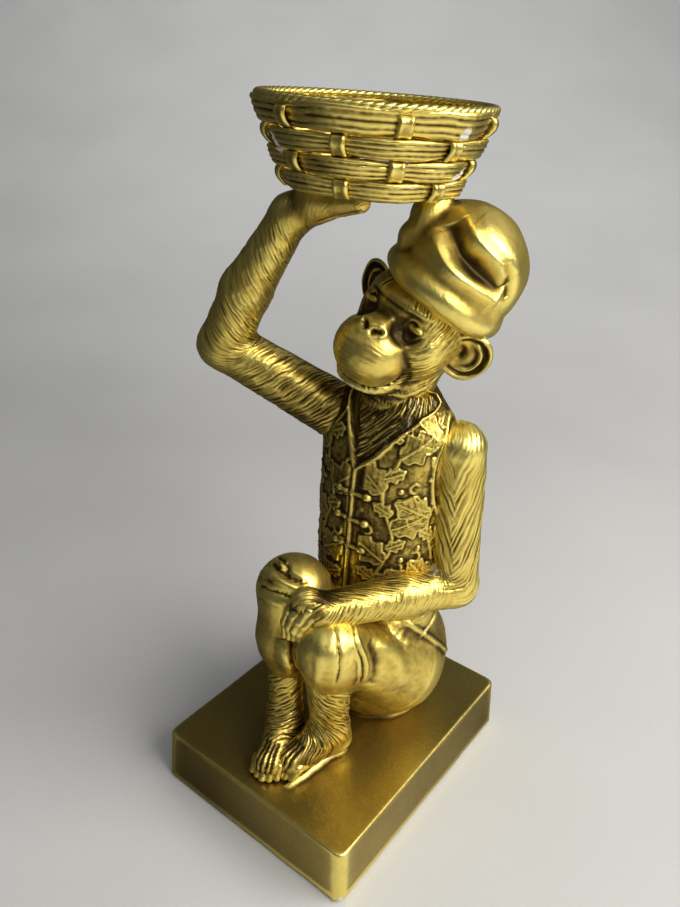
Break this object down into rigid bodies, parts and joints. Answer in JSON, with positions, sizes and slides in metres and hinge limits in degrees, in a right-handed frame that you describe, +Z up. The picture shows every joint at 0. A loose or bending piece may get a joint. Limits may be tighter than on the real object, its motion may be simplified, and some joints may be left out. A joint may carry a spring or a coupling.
{
  "type": "monkey figurine",
  "caption": "Gold seated monkey ornament in cap, waistcoat and trousers on an oblong plinth, one arm across its knees, the other raised to steady a woven basket on its cap.",
  "frame": {"origin": "on the felt's underside, 3 mm from its middle, where the figurine stands", "axes": "+Z up, the monkey faces -Y, +X is the monkey's left"},
  "size_m": [0.1144, 0.1209, 0.2704],
  "materials": {
    "resin_gold": "cast resin, metallic gold paint with a dark wash in the recesses",
    "plinth_gold": "cast resin, satin metallic gold paint, worn edges",
    "basket_gold": "cast resin, metallic gold paint, brown wash between the strands",
    "felt": "pressed felt",
    "peg_steel": "plain drawn steel"
  },
  "bodies": {
    "root": {"felt_pad": "felt", "plinth": "plinth_gold", "trousers": "resin_gold", "right_shin": "resin_gold", "left_shin": "resin_gold", "waistcoat": "resin_gold", "resting_arm": "resin_gold", "raised_arm": "resin_gold", "head": "resin_gold", "cap": "resin_gold", "basket": "basket_gold", "seat_pegs": "peg_steel", "foot_pegs": "peg_steel", "knee_pegs": "peg_steel", "waist_peg": "peg_steel", "neck_peg": "peg_steel", "shoulder_peg": "peg_steel", "cap_peg": "peg_steel", "basket_peg": "peg_steel", "arm_wire": "peg_steel"}
  },
  "joints": []
}
